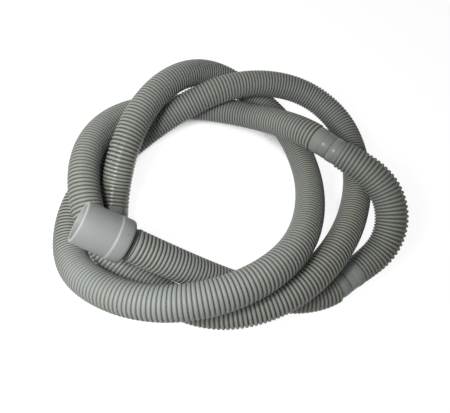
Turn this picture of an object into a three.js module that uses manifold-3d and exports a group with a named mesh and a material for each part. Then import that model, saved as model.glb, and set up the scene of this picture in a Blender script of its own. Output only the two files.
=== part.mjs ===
// Dishwasher drain hose, lying in a loose coil of nearly three turns.
// Millimetres, +Z up, standing on Z = 0, with the coil's middle over the origin.
// Two pieces: the corrugated hose, moulded in one, and the soft connector cuff pushed on its end.
// The hose is drawn here as a plain tube: its ribs are too fine for a solid of this length.

import * as THREE from "three";
import { mergeVertices } from "three/addons/utils/BufferGeometryUtils.js";
import Module from "manifold-3d";

const wasm = await Module();
wasm.setup();

// Hose
const hoseDiameter = 23;
const hoseBore = 17.5;
const flexDiameter = 24.2;
const flexBore = 18.5;

// Smooth end of the hose, which takes a spigot
const smoothEndBore = 19.5;
const smoothEndDepth = 20;

// The two moulded collars, each a wide band and then a narrow one, with the flexible stretch between
const wideBandDiameter = 21.2;
const narrowBandDiameter = 20.4;
const wideBandLength = 15.2;
const narrowBandLength = 9;
const flexLength = 117.5;

// Ribbed hose between the second collar and the neck at the cuff
const shortStretchLength = 159;

// Cuff, from its mouth to the end that holds the hose
const cuffLength = 32.5;
const cuffMouthDiameter = 27.4;
const cuffBodyDiameter = 28.8;
const cuffBandDiameter = 29.8;
const cuffBandLength = 9.5;
const cuffEndRounding = 2;
const cuffBore = 22.5;
const cuffBoreDepth = 17.5;
const cuffLipThickness = 2;
const cuffMouthRounding = 0.6;

// Neck of the hose, inside the cuff and just outside it
const neckDiameter = 20;
const neckShowing = 4;
const fitClearance = 0.3;

// How finely the solids are drawn
const tubeSides = 12;
const bandSides = 24;
const cuffSides = 48;
const stepLength = 27;
const flexStepLength = 9.6;
const lap = 1;

// The middle of the hose from its smooth end to the mouth of the cuff, as it lies
const routePoints = [
  [-91, -49.5, 11.5],
  [-94.5, -30.5, 17.5],
  [-94, -3.5, 36.5],
  [-86, 44.5, 48.5],
  [-64.5, 89, 43.5],
  [-39, 111.5, 28.5],
  [-0.5, 107, 14.5],
  [32, 79, 13],
  [53, 33.5, 19],
  [55.5, -17, 36],
  [42.5, -61.5, 51],
  [12, -94.5, 56.5],
  [-35.5, -112.5, 51.5],
  [-78.5, -106.5, 37.5],
  [-111.5, -80.5, 17.5],
  [-122, -37.5, 12.5],
  [-106.5, 12, 12.5],
  [-77, 51, 22],
  [-35, 82.5, 38],
  [5, 104, 37],
  [48.5, 108, 29.5],
  [80, 89, 23],
  [97, 48, 20],
  [94, -2, 26],
  [75, -50, 35.5],
  [47, -84.5, 35.5],
  [-1.5, -105, 26.5],
  [-43.5, -97, 19.5],
  [-84.5, -76.5, 24],
  [-113, -35.5, 36.5],
  [-121.5, 9, 32.5],
  [-109, 52, 19.5],
  [-75.5, 77, 12.5],
  [-30.5, 83.5, 14],
  [14, 69.5, 29],
  [51.5, 43, 48.5],
  [72, 30.5, 50],
  [93.5, 20, 49.5],
  [110.5, 8, 44.5],
  [120.5, -13, 33],
  [117, -31, 22],
  [101.5, -49, 14.5],
  [78, -71, 12.5],
  [43.5, -81.5, 12],
  [4, -81, 17],
  [-31, -80.5, 34.5],
  [-66, -79.5, 55],
  [-93.5, -78.5, 71],
];

// A natural cubic spline through points, with the straight distance between them as its parameter
class SmoothRoute extends THREE.Curve {
  constructor(points) {
    super();
    this.points = points.map((p) => new THREE.Vector3(...p));
    this.knots = [0];
    for (let i = 1; i < points.length; i++) {
      const span = this.points[i].distanceTo(this.points[i - 1]);
      this.knots.push(this.knots[i - 1] + span);
    }
    this.bends = this.solveBends();
    this.arcLengthDivisions = 4000;
  }

  // Second derivatives at the points, zero at both ends (tridiagonal elimination)
  solveBends() {
    const { points, knots } = this;
    const last = points.length - 1;
    const bends = points.map(() => new THREE.Vector3());
    const upper = new Array(last).fill(0);
    for (let i = 1; i < last; i++) {
      const before = knots[i] - knots[i - 1];
      const after = knots[i + 1] - knots[i];
      const pivot = 2 * (before + after) - before * upper[i - 1];
      const slopeAfter = points[i + 1].clone().sub(points[i]).divideScalar(after);
      const slopeBefore = points[i].clone().sub(points[i - 1]).divideScalar(before);
      upper[i] = after / pivot;
      bends[i].copy(slopeAfter).sub(slopeBefore).multiplyScalar(6);
      bends[i].addScaledVector(bends[i - 1], -before).divideScalar(pivot);
    }
    for (let i = last - 1; i > 0; i--) bends[i].addScaledVector(bends[i + 1], -upper[i]);
    return bends;
  }

  getPoint(t, target = new THREE.Vector3()) {
    const { points, knots, bends } = this;
    const x = t * knots.at(-1);
    let i = 1;
    while (i < knots.length - 1 && knots[i] < x) i++;
    const span = knots[i] - knots[i - 1];
    const b = (x - knots[i - 1]) / span;
    const a = 1 - b;
    const bulge = (span * span) / 6;
    target.set(0, 0, 0);
    target.addScaledVector(points[i - 1], a).addScaledVector(points[i], b);
    target.addScaledVector(bends[i - 1], (a ** 3 - a) * bulge);
    return target.addScaledVector(bends[i], (b ** 3 - b) * bulge);
  }
}

// The stretch of a route between two distances along it
class Stretch extends THREE.Curve {
  constructor(route, from, to) {
    super();
    this.route = route;
    this.from = from;
    this.to = to;
  }

  getPoint(t, target = new THREE.Vector3()) {
    const along = this.from + (this.to - this.from) * t;
    return this.route.getPointAt(along / this.route.getLength(), target);
  }
}

function toManifold(geometry) {
  const bare = geometry.clone();
  bare.deleteAttribute("normal");
  bare.deleteAttribute("uv");
  const merged = mergeVertices(bare, 1e-4);
  const vertProperties = new Float32Array(merged.attributes.position.array);
  const triVerts = new Uint32Array(merged.index.array);
  return new wasm.Manifold(new wasm.Mesh({ numProp: 3, vertProperties, triVerts }));
}

function toGeometry(solid) {
  const mesh = solid.getMesh();
  const geometry = new THREE.BufferGeometry();
  geometry.setAttribute("position", new THREE.BufferAttribute(mesh.vertProperties, 3));
  geometry.setIndex(new THREE.BufferAttribute(mesh.triVerts, 1));
  const flat = geometry.toNonIndexed();
  flat.computeVertexNormals();
  return flat;
}

// A solid rod of a given diameter along part of the route
function rod(route, from, to, diameter, sides, step) {
  const corners = Array.from({ length: sides }, (_, i) => {
    const angle = (i / sides) * 2 * Math.PI;
    return new THREE.Vector2(Math.cos(angle), Math.sin(angle)).multiplyScalar(diameter / 2);
  });
  const section = new THREE.Shape(corners);
  const steps = Math.max(1, Math.round((to - from) / step));
  const extrudePath = new Stretch(route, from, to);
  return toManifold(new THREE.ExtrudeGeometry(section, { steps, extrudePath, bevelEnabled: false }));
}

// Turns a profile of [radius, distance] about the line through a point.
// The profile starts and ends on the line, or closes on itself.
function turned(profile, sides, base, direction) {
  const outline = profile.map(([radius, along]) => new THREE.Vector2(radius, along));
  const geometry = new THREE.LatheGeometry(outline, sides);
  const turn = new THREE.Quaternion().setFromUnitVectors(new THREE.Vector3(0, 1, 0), direction);
  geometry.applyQuaternion(turn);
  geometry.translate(base.x, base.y, base.z);
  return geometry;
}

const route = new SmoothRoute(routePoints);
const routeLength = route.getLength();
const cuffStart = routeLength - cuffLength;
const neckStart = cuffStart - neckShowing;
const collarLength = wideBandLength + narrowBandLength;
const shortStretchStart = neckStart - shortStretchLength;
const secondCollarAt = shortStretchStart - collarLength;
const flexStart = secondCollarAt - flexLength;
const firstCollarAt = flexStart - collarLength;

const smoothEnd = route.getPointAt(0);
const smoothEndDirection = route.getTangentAt(0);
const cuffBase = route.getPointAt(cuffStart / routeLength);
const cuffDirection = route.getTangentAt(cuffStart / routeLength);
const socketDepth = cuffLength - cuffBoreDepth - cuffLipThickness;

function collarParts(start) {
  const step = start + wideBandLength;
  const end = start + collarLength;
  return [
    rod(route, start - lap, step, wideBandDiameter, bandSides, wideBandLength / 2),
    rod(route, step - lap, end + lap, narrowBandDiameter, bandSides, narrowBandLength / 2),
  ];
}

// A solid straight rod about the line through a point, between two distances along it
function straightRod(base, direction, diameter, from, to) {
  const radius = diameter / 2;
  const profile = [
    [0, from],
    [radius, from],
    [radius, to],
    [0, to],
  ];
  return toManifold(turned(profile, bandSides, base, direction));
}

function makeHose() {
  const neckTip = socketDepth - fitClearance;
  const outside = wasm.Manifold.union([
    rod(route, 0, firstCollarAt, hoseDiameter, tubeSides, stepLength),
    ...collarParts(firstCollarAt),
    rod(route, flexStart, secondCollarAt, flexDiameter, tubeSides, flexStepLength),
    ...collarParts(secondCollarAt),
    rod(route, shortStretchStart, neckStart, hoseDiameter, tubeSides, stepLength),
    straightRod(cuffBase, cuffDirection, neckDiameter, -neckShowing - lap, neckTip),
  ]);
  const inside = wasm.Manifold.union([
    straightRod(smoothEnd, smoothEndDirection, smoothEndBore, -lap, lap),
    rod(route, 0, smoothEndDepth, smoothEndBore, tubeSides, smoothEndDepth / 2),
    rod(route, 0, firstCollarAt + lap, hoseBore, tubeSides, stepLength),
    rod(route, firstCollarAt, flexStart + lap, hoseBore, tubeSides, collarLength / 3),
    rod(route, flexStart, secondCollarAt, flexBore, tubeSides, flexStepLength),
    rod(route, secondCollarAt - lap, shortStretchStart + lap, hoseBore, tubeSides, collarLength / 3),
    rod(route, shortStretchStart, neckStart + lap, hoseBore, tubeSides, stepLength),
    straightRod(cuffBase, cuffDirection, hoseBore, -neckShowing - lap, neckTip + lap),
  ]);
  return toGeometry(outside.subtract(inside));
}

// The cuff's wall, outside from the mouth to the hose and back along its two bores
function makeCuff() {
  const mouth = cuffLength;
  const lipTop = socketDepth + cuffLipThickness;
  const socket = neckDiameter / 2 + fitClearance;
  const r = cuffEndRounding;
  const profile = [
    [socket, 0],
    [cuffBandDiameter / 2 - r, 0],
    [cuffBandDiameter / 2 - r * (1 - Math.SQRT1_2), r * (1 - Math.SQRT1_2)],
    [cuffBandDiameter / 2, r],
    [cuffBandDiameter / 2, cuffBandLength],
    [cuffBodyDiameter / 2, cuffBandLength + (cuffBandDiameter - cuffBodyDiameter) / 2],
    [cuffMouthDiameter / 2, mouth - cuffMouthRounding],
    [cuffMouthDiameter / 2 - cuffMouthRounding, mouth],
    [cuffBore / 2, mouth],
    [cuffBore / 2, lipTop],
    [hoseBore / 2, lipTop],
    [hoseBore / 2, socketDepth],
    [socket, socketDepth],
    [socket, 0],
  ];
  return turned(profile, cuffSides, cuffBase, cuffDirection);
}

const hosePlastic = new THREE.MeshStandardMaterial({
  name: "hose_plastic",
  color: 0x9aa09b,
  roughness: 0.42,
  metalness: 0,
});
const cuffRubber = new THREE.MeshStandardMaterial({
  name: "cuff_rubber",
  color: 0xa6a8a5,
  roughness: 0.6,
  metalness: 0,
});

const hose = new THREE.Mesh(makeHose(), hosePlastic);
hose.name = "corrugated_hose";
const cuff = new THREE.Mesh(makeCuff(), cuffRubber);
cuff.name = "connector_cuff";

const drainHose = new THREE.Group();
drainHose.add(hose, cuff);

export default drainHose;
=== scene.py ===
# A dishwasher drain hose in a loose coil, on a pale floor, from the photograph's viewing angle.
import math

import bpy
import numpy as np
from mathutils import Matrix, Vector


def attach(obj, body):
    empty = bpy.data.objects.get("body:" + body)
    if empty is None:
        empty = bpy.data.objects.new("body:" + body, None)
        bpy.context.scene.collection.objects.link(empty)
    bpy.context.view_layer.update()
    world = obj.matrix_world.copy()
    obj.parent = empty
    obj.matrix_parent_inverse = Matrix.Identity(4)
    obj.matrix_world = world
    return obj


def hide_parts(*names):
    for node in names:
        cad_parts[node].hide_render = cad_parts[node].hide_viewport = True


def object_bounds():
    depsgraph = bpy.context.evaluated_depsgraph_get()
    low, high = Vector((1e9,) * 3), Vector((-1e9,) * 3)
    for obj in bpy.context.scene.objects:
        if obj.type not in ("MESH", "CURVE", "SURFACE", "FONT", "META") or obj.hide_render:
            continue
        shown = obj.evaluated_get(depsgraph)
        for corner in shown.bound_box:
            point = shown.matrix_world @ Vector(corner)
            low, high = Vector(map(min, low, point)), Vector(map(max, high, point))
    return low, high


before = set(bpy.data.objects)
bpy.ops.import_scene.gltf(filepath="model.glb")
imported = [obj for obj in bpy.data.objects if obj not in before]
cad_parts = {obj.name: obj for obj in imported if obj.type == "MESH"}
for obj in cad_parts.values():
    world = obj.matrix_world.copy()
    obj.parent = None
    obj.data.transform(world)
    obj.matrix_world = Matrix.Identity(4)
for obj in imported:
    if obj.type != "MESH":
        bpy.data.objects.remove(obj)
cad_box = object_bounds()

MM = 0.001
IMAGE_WIDTH = 450

# Camera, as the hose's widths and rib spacings in the photograph place it
FOCAL_PIXELS = 388
SENSOR_WIDTH = 36
CLIP_START = 0.01
CAMERA_ELEVATION = math.radians(60.9)
CAMERA_ROLL = math.radians(-11.3)
CAMERA_DISTANCE = 0.331
AIM = Vector((-0.008, -0.009, 0))

# Light: a small lamp near the camera, placed by the glints on the hose, a broad one beside it,
# a weaker one at the left, and a dim even sky. Each lamp has its place, size and power.
FLASH = {"place": (-0.12, -0.175, 0.301), "size": 0.04, "power": 0.38}
BROAD_LAMP = {"place": (-0.155, -0.2, 0.305), "size": 0.2, "power": 1}
SIDE_LAMP = {"place": (-0.3, 0.15, 0.2), "size": 0.15, "power": 0.4}
SKY = 0.08

# Floor: how pale it is to the light that falls on it, and as it is seen directly, how bright it
# shines and how much of the shadow it shows
FLOOR_ALBEDO = 0.7
FLOOR_SHINES = 0.93
FLOOR_SHADES = 0.2
FLOOR_REACH = 6
FLOOR_DROP = 0.0002

# Painted shade in narrow gaps under the hose, where the floor seen directly is darkened: how far
# around a place is looked at, between which shares of open air it darkens, and how bright it still
# shines
GAP_REACH = 0.05
GAP_OPEN_AIR = (0.14, 0.27)
GAP_SHINES = 0.1

# Sizes of the hose and its cuff
HOSE_RADIUS = 11.5 * MM
HOSE_BORE = 8.75 * MM
FLEX_RADIUS = 10.9 * MM
FLEX_SWELL = 1.4 * MM
SMOOTH_END_BORE = 9.75 * MM
SMOOTH_END_DEPTH = 20 * MM
SMOOTH_END = 12 * MM
# Painted shadow on the smooth end, where the cuff shades it
SMOOTH_END_PAINTED_SHADOW = 0.4
MOUTH_FLARE = 0.3 * MM
PLAIN_BEFORE_RIBS = 0.6 * MM
COLLAR_LENGTH = 24.2 * MM
FLEX_LENGTH = 117.5 * MM
SHORT_STRETCH_LENGTH = 159 * MM
CUFF_LENGTH = 32.5 * MM
NECK_RADIUS = 10 * MM
NECK_SHOWING = 4 * MM
NECK_INSIDE = 12.7 * MM
WIDE_RING_LENGTH = 3 * MM

# Ribs: the crest is a share of the pitch, the crown is how far its edges round off, in millimetres,
# and the third table is how dark the grooves are, partly dirt and partly painted shade. All three go
# by the millimetres along the hose. They are set so that the contrast comes near the photograph's,
# and don't come from the hose's shape. The shape says where a crest's rows are, from edge to edge,
# and grey is painted shade on its slopes.
SOFT_CREST = (-1, -0.6, 0, 0.6, 1)
ROUND_CREST = (-1, -0.85, -0.5, -0.15, 0.15, 0.5, 0.85, 1)
FINE_RIB = {
    "radius": HOSE_RADIUS,
    "pitch": 2.8 * MM,
    "depth": 1.5 * MM,
    "crest": [
        (40, 0.82),
        (300, 0.78),
        (350, 0.68),
        (400, 0.7),
        (450, 0.78),
        (500, 0.87),
        (590, 0.87),
        (640, 0.72),
        (680, 0.74),
        (740, 0.82),
        (960, 0.82),
        (1010, 0.62),
        (1080, 0.64),
        (1120, 0.72),
        (1160, 0.85),
        (1240, 0.85),
        (1280, 0.86),
        (1340, 0.8),
    ],
    "crown": [
        (300, 0.5),
        (350, 0.7),
        (400, 0.7),
        (450, 0.5),
        (500, 0.35),
        (590, 0.35),
        (640, 0.6),
        (680, 0.6),
        (740, 0.5),
        (960, 0.5),
        (1010, 0.7),
        (1080, 0.7),
        (1120, 0.6),
        (1240, 0.6),
        (1280, 0.45),
        (1340, 0.5),
    ],
    # Groove darkness along the hose: some dirt, and painted shade that changes with how the grooves
    # are seen and lit
    "groove_shade_and_dirt": [
        (30, 0.95),
        (60, 0.9),
        (100, 0.8),
        (300, 0.9),
        (350, 1),
        (400, 1),
        (450, 0.75),
        (500, 0.6),
        (590, 0.6),
        (640, 1),
        (680, 0.9),
        (740, 0.75),
        (960, 0.75),
        (1010, 1),
        (1080, 1),
        (1120, 0.9),
        (1160, 0.85),
        (1240, 0.85),
        (1280, 0.65),
        (1340, 0.8),
    ],
    "shape": SOFT_CREST,
}
# The wider ribs by the smooth end: their slopes get painted shadow, where the cuff shades them
END_RIB = FINE_RIB | {
    "pitch": 3.5 * MM,
    "depth": 0.8 * MM,
    "crest": [(0, 0.76)],
    "crown": [(0, 0.3)],
    "groove_shade_and_dirt": [(0, 0.95)],
    "grey": 0.5,
}
END_RIB_COUNT = 5
# The flexible stretch: painted shade on its crests' slopes leaves a light line along each crest
FLEX_RIB = {
    "radius": FLEX_RADIUS,
    "pitch": 3.03 * MM,
    "depth": 1.3 * MM,
    "crest": [(1655, 0.86), (1685, 0.72), (1745, 0.72), (1765, 0.88)],
    "crown": [(0, 0.75)],
    "groove_shade_and_dirt": [(1700, 0.68), (1740, 0.9)],
    "shape": ROUND_CREST,
    "grey": 0.42,
}

# How fast a crest's slopes reach their painted shade from its middle, and how close the grooves'
# darkness, painted shade and dirt, keeps to its edges
SLOPE_SHADE_RISE = 1.6
GROOVE_SHADE_AND_DIRT_POWER = 6

# The rounded edge of the smooth end: millimetres along, and millimetres in from the full radius
SMOOTH_END_EDGE = [(0, 0.5), (0.15, 0.15), (0.5, 0)]

# A collar from its start: millimetres along, radius in millimetres, and how dark
COLLAR_PROFILE = [
    (0.35, 10.3, 0.3),
    (0.9, 10.6, 0),
    (4.8, 10.65, 0),
    (6.5, 10.58, 0),
    (7.9, 10.4, 0),
    (8.4, 10.15, 0),
    (9.2, 10.05, 0),
    (14.5, 9.98, 0),
    (14.9, 9.75, 0.6),
    (15.2, 9.65, 0.9),
    (15.4, 9.9, 0.3),
    (15.7, 10.2, 0),
    (19.6, 10.25, 0),
    (20.6, 10.18, 0),
    (21.3, 9.95, 0),
    (22, 9.9, 0),
    (23.7, 9.9, 0),
]
FIRST_COLLAR_GREY = 0.22
SECOND_COLLAR_GREY = 0

# The wide smooth ring that ends where the neck starts, in millimetres from there, and a thin ring
# of the neck from its own start, in the same form
WIDE_RING_PROFILE = [
    (-3, 10, 1),
    (-2.6, 11.2, 0.2),
    (-2.2, 11.5, 0),
    (-0.6, 11.5, 0),
    (-0.2, 11.2, 0.2),
    (0, 9.5, 1),
]
THIN_RING_PROFILE = [
    (0, 10.65, 0.2),
    (0.25, 10.8, 0),
    (0.7, 10.8, 0),
    (0.95, 10.65, 0.2),
    (1.15, 9.5, 1),
]
THIN_RINGS_AT = (0.4 * MM, 1.8 * MM)
NECK_PLAIN_AT = 0.5 * MM
# Painted shade on the plain neck, in the gap where it goes into the cuff
NECK_PAINTED_SHADE = 0.8

# The cuff's wall in millimetres: along from the hose's side to the mouth, radius, and how pale with
# painted highlight
CUFF_PROFILE = [
    (0, 10.35, 0),
    (0, 12.7, 0),
    (0.15, 13.5, 0),
    (0.6, 14.2, 0),
    (1.3, 14.7, 0),
    (2.2, 14.9, 0),
    (5.5, 14.92, 0),
    (8.9, 14.9, 0),
    (9.4, 14.83, 0.7),
    (10, 14.5, 1),
    (10.4, 14.42, 0.5),
    (10.8, 14.41, 0),
    (24, 13.98, 0),
    (31.3, 13.72, 0),
    (31.9, 13.62, 0.6),
    (32.3, 13.35, 1),
    (32.5, 13, 0.8),
    (32.5, 12, 0.2),
    (32.3, 11.6, 0),
    (31.8, 11.3, 0),
    (24, 11.25, 0),
    (15.4, 11.25, 0),
    (15, 11, 0),
    (15, 8.9, 0),
    (14.6, 8.75, 0),
    (13.2, 8.75, 0),
    (13, 10.35, 0),
]

# The hose is glossy from its smooth end to the polished end, fading out just before it, and less so
# on a part of each collar, counted from the collar's start
POLISHED_END = 75 * MM
POLISH_FADE = 20 * MM
COLLAR_SHINE = 0.7
COLLAR_SHINY_PART = (8 * MM, 21 * MM)

# Colours, the hose's roughness where it is matte and where it is glossy, and the strength of its
# glint up to the collars' shine and at the full one
HOSE_TINTS = ((0.242, 0.263, 0.249, 1), (0.272, 0.293, 0.279, 1))
# The dark brown the hose darkens towards: painted shade, and dirt in the grooves
SHADE_AND_DIRT_COLOUR = (0.06, 0.053, 0.022, 1)
HOSE_ROUGHNESS = (0.52, 0.14)
HOSE_GLINT = (0.2, 0.4)
HOSE_IOR = 1.49
CUFF_TINTS = ((0.225, 0.236, 0.234, 1), (0.25, 0.261, 0.257, 1))
# Painted highlight colour for the cuff's rim and the step of its band
PAINTED_HIGHLIGHT_COLOUR = (0.32, 0.335, 0.33, 1)
SPECK_COLOUR = (0.05, 0.05, 0.045, 1)
CUFF_ROUGHNESS = 0.55
CUFF_IOR = 1.45

# How fine the tints vary, how closely the specks lie, between which distances from its middle a
# speck fades out, and how strong it is there
HOSE_TINT_SCALE = 35
CUFF_TINT_SCALE = 60
SPECK_SCALE = 190
SPECK_FADE = (0.06, 0.11)
SPECK_STRENGTH = 0.45

# How finely the skins and the cord's path are drawn
INNER_STEP = 14 * MM
INNER_FROM_TIP = 5 * MM
INNER_TO_SOCKET = 1 * MM
HOSE_SIDES = 22
CUFF_SIDES = 96
CUFF_SHARP_ANGLE = math.radians(50)
CORD_STEP = 4 * MM

# The middle of the hose, from its smooth end to the mouth of the cuff
ROUTE = [
    (-0.091, -0.0495, 0.0115),
    (-0.0945, -0.0305, 0.0175),
    (-0.094, -0.0035, 0.0365),
    (-0.086, 0.0445, 0.0485),
    (-0.0645, 0.089, 0.0435),
    (-0.039, 0.1115, 0.0285),
    (-0.0005, 0.107, 0.0145),
    (0.032, 0.079, 0.013),
    (0.053, 0.0335, 0.019),
    (0.0555, -0.017, 0.036),
    (0.0425, -0.0615, 0.051),
    (0.012, -0.0945, 0.0565),
    (-0.0355, -0.1125, 0.0515),
    (-0.0785, -0.1065, 0.0375),
    (-0.1115, -0.0805, 0.0175),
    (-0.122, -0.0375, 0.0125),
    (-0.1065, 0.012, 0.0125),
    (-0.077, 0.051, 0.022),
    (-0.035, 0.0825, 0.038),
    (0.005, 0.104, 0.037),
    (0.0485, 0.108, 0.0295),
    (0.080, 0.089, 0.023),
    (0.097, 0.048, 0.020),
    (0.094, -0.002, 0.026),
    (0.075, -0.050, 0.0355),
    (0.047, -0.0845, 0.0355),
    (-0.0015, -0.105, 0.0265),
    (-0.0435, -0.097, 0.0195),
    (-0.0845, -0.0765, 0.024),
    (-0.113, -0.0355, 0.0365),
    (-0.1215, 0.009, 0.0325),
    (-0.109, 0.052, 0.0195),
    (-0.0755, 0.077, 0.0125),
    (-0.0305, 0.0835, 0.014),
    (0.014, 0.0695, 0.029),
    (0.0515, 0.043, 0.0485),
    (0.072, 0.0305, 0.050),
    (0.0935, 0.020, 0.0495),
    (0.1105, 0.008, 0.0445),
    (0.1205, -0.013, 0.033),
    (0.117, -0.031, 0.022),
    (0.1015, -0.049, 0.0145),
    (0.078, -0.071, 0.0125),
    (0.0435, -0.0815, 0.012),
    (0.004, -0.081, 0.017),
    (-0.031, -0.0805, 0.0345),
    (-0.066, -0.0795, 0.055),
    (-0.0935, -0.0785, 0.071),
]


class SmoothRoute:
    """A natural cubic spline through points, read by distance along it."""

    def __init__(self, points):
        self.points = np.array(points)
        spans = np.linalg.norm(np.diff(self.points, axis=0), axis=1)
        self.knots = np.concatenate([[0], np.cumsum(spans)])
        count = len(points)
        system = np.eye(count)
        sides = np.zeros((count, 3))
        slopes = np.diff(self.points, axis=0) / spans[:, None]
        for i in range(1, count - 1):
            system[i, i - 1] = spans[i - 1]
            system[i, i] = 2 * (spans[i - 1] + spans[i])
            system[i, i + 1] = spans[i]
            sides[i] = 6 * (slopes[i] - slopes[i - 1])
        self.bends = np.linalg.solve(system, sides)
        self.table = np.linspace(0, self.knots[-1], 16001)
        steps = np.linalg.norm(np.diff(self.at_knot(self.table), axis=0), axis=1)
        self.lengths = np.concatenate([[0], np.cumsum(steps)])
        self.length = self.lengths[-1]

    def at_knot(self, x):
        i = np.clip(np.searchsorted(self.knots, x), 1, len(self.knots) - 1)
        span = (self.knots[i] - self.knots[i - 1])[:, None]
        b = (x - self.knots[i - 1])[:, None] / span
        a = 1 - b
        bulge = span**2 / 6
        straight = a * self.points[i - 1] + b * self.points[i]
        curved = (a**3 - a) * self.bends[i - 1] + (b**3 - b) * self.bends[i]
        return straight + curved * bulge

    def at(self, distances):
        return self.at_knot(np.interp(distances, self.lengths, self.table))

    def direction(self, distances):
        reach = 0.2 * MM
        ahead = self.at(np.minimum(distances + reach, self.length))
        behind = self.at(np.maximum(distances - reach, 0))
        return (ahead - behind) / np.linalg.norm(ahead - behind, axis=1)[:, None]

    def bend(self, distances):
        """Vectors towards the inside of the bend, one over the radius long."""
        reach = 1 * MM
        middle = np.clip(distances, reach, self.length - reach)
        turn = self.direction(middle + reach) - self.direction(middle - reach)
        return turn / (2 * reach)


def carried_frames(directions):
    """For each direction, two unit vectors square to it that turn as little as they can."""
    side = np.cross(directions[0], (0, 0, 1))
    sides = []
    for direction in directions:
        side = side - direction * side.dot(direction)
        side = side / np.linalg.norm(side)
        sides.append(side)
    sides = np.array(sides)
    return sides, np.cross(directions, sides)


def ring_mesh(name, points, **values):
    """A closed skin through rings of points, the last ring joined to the first.

    Each of the values is kept on the mesh as an attribute, with one number a ring.
    """
    rings, count = points.shape[:2]
    ring = np.arange(rings)[:, None]
    spoke = np.arange(count)[None, :]
    next_ring = (ring + 1) % rings
    next_spoke = (spoke + 1) % count
    corners = [
        ring * count + spoke,
        ring * count + next_spoke,
        next_ring * count + next_spoke,
        next_ring * count + spoke,
    ]
    faces = np.stack(np.broadcast_arrays(*corners), axis=-1).reshape(-1, 4)
    mesh = bpy.data.meshes.new(name)
    mesh.from_pydata(points.reshape(-1, 3).tolist(), [], faces.tolist())
    mesh.polygons.foreach_set("use_smooth", np.ones(len(faces), bool))
    for value, per_ring in values.items():
        layer = mesh.attributes.new(value, "FLOAT", "POINT")
        layer.data.foreach_set("value", np.repeat(per_ring, count).astype(np.float32))
    mesh.update()
    piece = bpy.data.objects.new(name, mesh)
    bpy.context.scene.collection.objects.link(piece)
    return piece


def outward(sides, ups, count):
    """Unit vectors from each ring's middle to its points."""
    angles = np.arange(count) * 2 * math.pi / count
    across = np.cos(angles)[None, :, None] * sides[:, None, :]
    return across + np.sin(angles)[None, :, None] * ups[:, None, :]


def value_at(table, place):
    places, values = zip(*table)
    return float(np.interp(place / MM, places, values))


def ribs(start, end, rib, swell=0):
    """Rows (place, offset, radius, darkness) for the ribs that fill a stretch; darkness is painted
    shade and dirt.

    Each crest lies between two valleys. It keeps its width where the hose bends, so its rows
    share one place and differ in offset. The swell is how much wider the middle ribs are.
    """
    count = max(1, round((end - start) / rib["pitch"]))
    pitch = (end - start) / count
    rows = []
    for i in range(count):
        valley = start + i * pitch
        top = valley + pitch / 2
        half_crest = value_at(rib["crest"], top) / 2 * pitch
        crown = value_at(rib["crown"], top) * MM
        groove_shade_and_dirt = value_at(rib["groove_shade_and_dirt"], top)
        radius = rib["radius"] + swell * (1 - (2 * (i + 0.5) / count - 1) ** 2)
        rows.append((valley, 0, radius - rib["depth"], groove_shade_and_dirt))
        for part in rib["shape"]:
            drop = crown * (1 - math.sqrt(1 - part**2))
            # Painted shade on the crest's slopes, and in the grooves painted shade with some dirt
            grey = rib.get("grey", 0) * min(1, SLOPE_SHADE_RISE * abs(part))
            darkness = max(grey, groove_shade_and_dirt * part**GROOVE_SHADE_AND_DIRT_POWER)
            rows.append((top, part * half_crest, radius - drop, darkness))
    return rows


def collar(start, before, after, grey):
    """A moulded collar: each band has a small shoulder in it, and a seam parts the two."""
    rows = [(start, 0, before, 1)]
    for at, radius, dark in COLLAR_PROFILE:
        rows.append((start + at * MM, 0, radius * MM, max(grey, dark)))
    rows.append((start + COLLAR_LENGTH, 0, after, 1))
    return rows


def hose_places(length):
    """Where the collars and the flexible stretch between them start and end along the hose."""
    neck = length - CUFF_LENGTH - NECK_SHOWING
    second_end = neck - SHORT_STRETCH_LENGTH
    second = second_end - COLLAR_LENGTH
    flex = second - FLEX_LENGTH
    first = flex - COLLAR_LENGTH
    return first, flex, second, second_end, neck


def hose_profile(length):
    """Rows for the whole hose, outside from the smooth end to the cuff and back inside."""
    first, flex, second, second_end, neck = hose_places(length)
    tip = length - CUFF_LENGTH + NECK_INSIDE
    ribs_end = SMOOTH_END + END_RIB_COUNT * END_RIB["pitch"]
    root = HOSE_RADIUS - FINE_RIB["depth"]
    flex_root = FLEX_RADIUS - FLEX_RIB["depth"]
    rows = [(0, 0, SMOOTH_END_BORE + MOUTH_FLARE, SMOOTH_END_PAINTED_SHADOW)]
    for at, inset in SMOOTH_END_EDGE:
        rows.append((at * MM, 0, HOSE_RADIUS - inset * MM, SMOOTH_END_PAINTED_SHADOW))
    rows.append((SMOOTH_END - PLAIN_BEFORE_RIBS, 0, HOSE_RADIUS, SMOOTH_END_PAINTED_SHADOW))
    rows += ribs(SMOOTH_END, ribs_end, END_RIB)
    rows += ribs(ribs_end, first, FINE_RIB)
    rows += collar(first, root, flex_root, FIRST_COLLAR_GREY)
    rows += ribs(flex, second, FLEX_RIB, FLEX_SWELL)
    rows += collar(second, flex_root, root, SECOND_COLLAR_GREY)
    rows += ribs(second_end, neck - WIDE_RING_LENGTH, FINE_RIB)
    rows += neck_rows(neck)
    rows += [(tip, 0, NECK_RADIUS, 0), (tip, 0, HOSE_BORE, 0)]
    inner = np.arange(tip - INNER_FROM_TIP, SMOOTH_END_DEPTH + INNER_TO_SOCKET, -INNER_STEP)
    rows += [(at, 0, HOSE_BORE, 0) for at in inner]
    rows += [(SMOOTH_END_DEPTH, 0, SMOOTH_END_BORE, 0), (1 * MM, 0, SMOOTH_END_BORE, 0)]
    return rows


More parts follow.
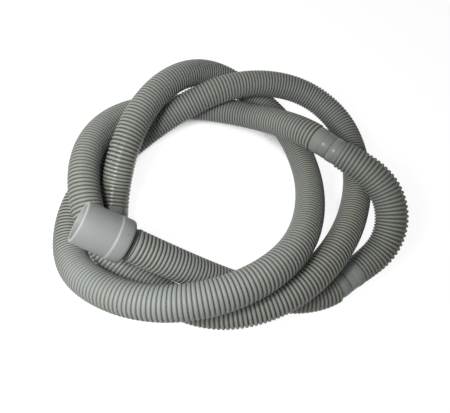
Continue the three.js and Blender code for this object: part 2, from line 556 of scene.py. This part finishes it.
def shine(places, length):
    """1 on the polished stretch by the smooth end, less amid the collars, and 0 on the rest."""
    first, _, second, _, _ = hose_places(length)
    start, end = COLLAR_SHINY_PART
    value = np.clip((POLISHED_END - places) / POLISH_FADE, 0, 1)
    for collar_start in (first, second):
        amid = (places > collar_start + start) & (places < collar_start + end)
        value = np.maximum(value, COLLAR_SHINE * amid)
    return value


def neck_rows(neck):
    """One wide smooth ring, then two thin rings of a smaller diameter, then the plain neck."""
    rows = [(neck + at * MM, 0, radius * MM, dark) for at, radius, dark in WIDE_RING_PROFILE]
    for ring in THIN_RINGS_AT:
        for at, radius, dark in THIN_RING_PROFILE:
            rows.append((neck + ring + at * MM, 0, radius * MM, dark))
    rows.append((neck + NECK_SHOWING - NECK_PLAIN_AT, 0, NECK_RADIUS, NECK_PAINTED_SHADE))
    return rows


def make_camera():
    data = bpy.data.cameras.new("camera")
    data.sensor_fit = "HORIZONTAL"
    data.sensor_width = SENSOR_WIDTH
    data.lens = FOCAL_PIXELS / IMAGE_WIDTH * data.sensor_width
    data.clip_start = CLIP_START
    camera = bpy.data.objects.new("camera", data)
    bpy.context.scene.collection.objects.link(camera)
    forward = Vector((0, math.cos(CAMERA_ELEVATION), -math.sin(CAMERA_ELEVATION)))
    level_up = Vector((0, math.sin(CAMERA_ELEVATION), math.cos(CAMERA_ELEVATION)))
    level_right = Vector((1, 0, 0))
    right = level_right * math.cos(CAMERA_ROLL) - level_up * math.sin(CAMERA_ROLL)
    up = level_right * math.sin(CAMERA_ROLL) + level_up * math.cos(CAMERA_ROLL)
    turn = Matrix((right, up, -forward)).transposed().to_4x4()
    camera.matrix_world = Matrix.Translation(AIM - forward * CAMERA_DISTANCE) @ turn
    bpy.context.scene.camera = camera


def make_hose(route):
    places, offsets, radii, groove = np.array(hose_profile(route.length)).T
    order = np.argsort(places, kind="stable")
    directions = route.direction(places)
    sides = np.zeros((len(places), 3))
    ups = np.zeros((len(places), 3))
    sides[order], ups[order] = carried_frames(directions[order])
    arms = outward(sides, ups, HOSE_SIDES) * radii[:, None, None]
    # Crests keep their width on the outside of a bend and are squeezed on the inside
    squeeze = np.minimum(1, 1 - np.einsum("rsk,rk->rs", arms, route.bend(places)))
    shift = (offsets[:, None] * squeeze)[:, :, None] * directions[:, None, :]
    points = route.at(places)[:, None, :] + arms + shift
    hose = ring_mesh("hose_skin", points, groove=groove, shine=shine(places, route.length))
    hose.data.materials.append(hose_plastic())
    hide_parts("corrugated_hose")
    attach(hose, "root")
    path_to = route.length - CUFF_LENGTH + NECK_INSIDE
    path = route.at(np.arange(path_to, 0, -CORD_STEP))
    leaves_cuff = tuple(route.at(np.array([route.length - CUFF_LENGTH]))[0])


def make_cuff(route):
    """The cuff, turned about the line of the hose's last stretch."""
    base = route.at(np.array([route.length - CUFF_LENGTH]))[0]
    axis = route.direction(np.array([route.length - CUFF_LENGTH]))[0]
    along, radii, pale = np.array(CUFF_PROFILE).T
    centres = base[None, :] + along[:, None] * MM * axis[None, :]
    sides, ups = carried_frames(np.repeat(axis[None, :], len(along), axis=0))
    arms = outward(sides, ups, CUFF_SIDES) * radii[:, None, None] * MM
    cuff = ring_mesh("cuff_skin", centres[:, None, :] + arms, pale=pale)
    cuff.data.set_sharp_from_angle(angle=CUFF_SHARP_ANGLE)
    cuff.data.materials.append(cuff_rubber())
    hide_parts("connector_cuff")
    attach(cuff, "root")


def new_material(name):
    material = bpy.data.materials.new(name)
    material.use_nodes = True
    nodes = material.node_tree.nodes
    return material, nodes, material.node_tree.links, nodes["Principled BSDF"]


def hose_plastic():
    """Light greenish grey moulded plastic, darker and browner in the grooves with dirt and painted
    shade, and painted shade on crest slopes, the smooth end and the neck.
    """
    material, nodes, links, shader = new_material("hose_plastic")
    groove = nodes.new("ShaderNodeAttribute")
    groove.attribute_name = "groove"
    noise = nodes.new("ShaderNodeTexNoise")
    noise.inputs["Scale"].default_value = HOSE_TINT_SCALE
    noise.inputs["Detail"].default_value = 3
    place = nodes.new("ShaderNodeTexCoord")
    links.new(place.outputs["Object"], noise.inputs["Vector"])
    tint = nodes.new("ShaderNodeMix")
    tint.data_type = "RGBA"
    tint.inputs["A"].default_value = HOSE_TINTS[0]
    tint.inputs["B"].default_value = HOSE_TINTS[1]
    links.new(noise.outputs["Fac"], tint.inputs["Factor"])
    # Darkens towards the dark brown: painted shade in grooves, on crest slopes, the smooth end and
    # the neck, some dirt in the grooves, and a darker first collar
    dark = nodes.new("ShaderNodeMix")
    dark.data_type = "RGBA"
    dark.inputs["B"].default_value = SHADE_AND_DIRT_COLOUR
    links.new(groove.outputs["Fac"], dark.inputs["Factor"])
    links.new(tint.outputs["Result"], dark.inputs["A"])
    links.new(dark.outputs["Result"], shader.inputs["Base Color"])
    gloss = nodes.new("ShaderNodeAttribute")
    gloss.attribute_name = "shine"
    rough = nodes.new("ShaderNodeMix")
    rough.inputs["A"].default_value = HOSE_ROUGHNESS[0]
    rough.inputs["B"].default_value = HOSE_ROUGHNESS[1]
    links.new(gloss.outputs["Fac"], rough.inputs["Factor"])
    links.new(rough.outputs["Result"], shader.inputs["Roughness"])
    glint = nodes.new("ShaderNodeMapRange")
    glint.inputs["From Min"].default_value = COLLAR_SHINE
    glint.inputs["To Min"].default_value = HOSE_GLINT[0]
    glint.inputs["To Max"].default_value = HOSE_GLINT[1]
    links.new(gloss.outputs["Fac"], glint.inputs["Value"])
    links.new(glint.outputs["Result"], shader.inputs["Specular IOR Level"])
    shader.inputs["IOR"].default_value = HOSE_IOR
    return material


def cuff_rubber():
    """Lighter, matte moulding with faint blotches and a few specks, and a painted highlight on its
    rim and on the step of its band.
    """
    material, nodes, links, shader = new_material("cuff_rubber")
    place = nodes.new("ShaderNodeTexCoord")
    blotch = nodes.new("ShaderNodeTexNoise")
    blotch.inputs["Scale"].default_value = CUFF_TINT_SCALE
    blotch.inputs["Detail"].default_value = 4
    links.new(place.outputs["Object"], blotch.inputs["Vector"])
    tint = nodes.new("ShaderNodeMix")
    tint.data_type = "RGBA"
    tint.inputs["A"].default_value = CUFF_TINTS[0]
    tint.inputs["B"].default_value = CUFF_TINTS[1]
    links.new(blotch.outputs["Fac"], tint.inputs["Factor"])
    # Painted highlight: a lighter colour on the rim and on the step of the band
    pale = nodes.new("ShaderNodeAttribute")
    pale.attribute_name = "pale"
    painted_highlight = nodes.new("ShaderNodeMix")
    painted_highlight.data_type = "RGBA"
    painted_highlight.inputs["B"].default_value = PAINTED_HIGHLIGHT_COLOUR
    links.new(pale.outputs["Fac"], painted_highlight.inputs["Factor"])
    links.new(tint.outputs["Result"], painted_highlight.inputs["A"])
    cells = nodes.new("ShaderNodeTexVoronoi")
    cells.inputs["Scale"].default_value = SPECK_SCALE
    links.new(place.outputs["Object"], cells.inputs["Vector"])
    near = nodes.new("ShaderNodeMapRange")
    near.inputs["From Min"].default_value = SPECK_FADE[0]
    near.inputs["From Max"].default_value = SPECK_FADE[1]
    near.inputs["To Min"].default_value = SPECK_STRENGTH
    near.inputs["To Max"].default_value = 0
    links.new(cells.outputs["Distance"], near.inputs["Value"])
    speck = nodes.new("ShaderNodeMix")
    speck.data_type = "RGBA"
    speck.inputs["B"].default_value = SPECK_COLOUR
    links.new(near.outputs["Result"], speck.inputs["Factor"])
    links.new(painted_highlight.outputs["Result"], speck.inputs["A"])
    links.new(speck.outputs["Result"], shader.inputs["Base Color"])
    shader.inputs["Roughness"].default_value = CUFF_ROUGHNESS
    shader.inputs["IOR"].default_value = CUFF_IOR
    return material


def area_light(name, lamp):
    data = bpy.data.lights.new(name, "AREA")
    data.energy = lamp["power"]
    data.size = lamp["size"]
    light = bpy.data.objects.new(name, data)
    bpy.context.scene.collection.objects.link(light)
    light.location = lamp["place"]
    light.rotation_euler = (-light.location).to_track_quat("-Z", "Y").to_euler()
    return light


def make_stage():
    mesh = bpy.data.meshes.new("floor")
    reach = FLOOR_REACH
    corners = [(-reach, -reach, 0), (reach, -reach, 0), (reach, reach, 0), (-reach, reach, 0)]
    mesh.from_pydata(corners, [], [(0, 1, 2, 3)])
    floor = bpy.data.objects.new("floor", mesh)
    bpy.context.scene.collection.objects.link(floor)
    floor.location = (0, 0, cad_box[0][2] - FLOOR_DROP)
    floor.data.materials.append(floor_white())
    area_light("flash", FLASH)
    area_light("broad_lamp", BROAD_LAMP)
    area_light("side_lamp", SIDE_LAMP)
    world = bpy.data.worlds.new("sky")
    bpy.context.scene.world = world
    world.use_nodes = True
    nodes, links = world.node_tree.nodes, world.node_tree.links
    seen = seen_directly(nodes, links)
    strength = nodes.new("ShaderNodeMix")
    strength.inputs["A"].default_value = SKY
    strength.inputs["B"].default_value = 1
    links.new(seen, strength.inputs["Factor"])
    links.new(strength.outputs["Result"], nodes["Background"].inputs["Strength"])
    nodes["Background"].inputs["Color"].default_value = (1, 1, 1, 1)


def seen_directly(nodes, links):
    """1 for rays from the camera, straight or by way of gloss or glass, and 0 for the rest."""
    path = nodes.new("ShaderNodeLightPath")
    total = path.outputs["Is Camera Ray"]
    for kind in ("Is Glossy Ray", "Is Transmission Ray"):
        both = nodes.new("ShaderNodeMath")
        both.operation = "MAXIMUM"
        links.new(total, both.inputs[0])
        links.new(path.outputs[kind], both.inputs[1])
        total = both.outputs["Value"]
    return total


def floor_white():
    """Plain paper: seen directly it is white but for the shadow on it, and painted shade in narrow
    gaps.
    """
    material, nodes, links, shader = new_material("floor")
    nodes.remove(shader)
    paper = nodes.new("ShaderNodeBsdfDiffuse")
    paper.inputs["Color"].default_value = (FLOOR_ALBEDO, FLOOR_ALBEDO, FLOOR_ALBEDO, 1)
    shade = nodes.new("ShaderNodeBsdfDiffuse")
    shade.inputs["Color"].default_value = (FLOOR_SHADES, FLOOR_SHADES, FLOOR_SHADES, 1)
    white = nodes.new("ShaderNodeEmission")
    # Painted shade: the floor seen directly darkens where little open air is around it
    closed_in = nodes.new("ShaderNodeAmbientOcclusion")
    closed_in.inputs["Distance"].default_value = GAP_REACH
    open_air = nodes.new("ShaderNodeMapRange")
    open_air.inputs["From Min"].default_value = GAP_OPEN_AIR[0]
    open_air.inputs["From Max"].default_value = GAP_OPEN_AIR[1]
    open_air.inputs["To Min"].default_value = GAP_SHINES
    open_air.inputs["To Max"].default_value = FLOOR_SHINES
    links.new(closed_in.outputs["AO"], open_air.inputs["Value"])
    links.new(open_air.outputs["Result"], white.inputs["Strength"])
    both = nodes.new("ShaderNodeAddShader")
    links.new(shade.outputs["BSDF"], both.inputs[0])
    links.new(white.outputs["Emission"], both.inputs[1])
    blend = nodes.new("ShaderNodeMixShader")
    links.new(seen_directly(nodes, links), blend.inputs["Fac"])
    links.new(paper.outputs["BSDF"], blend.inputs[1])
    links.new(both.outputs["Shader"], blend.inputs[2])
    links.new(blend.outputs["Shader"], nodes["Material Output"].inputs["Surface"])
    return material


def main():
    make_camera()
    route = SmoothRoute(ROUTE)
    make_hose(route)
    make_cuff(route)
    make_stage()
    view = bpy.context.scene.view_settings
    view.view_transform = "Standard"


main()
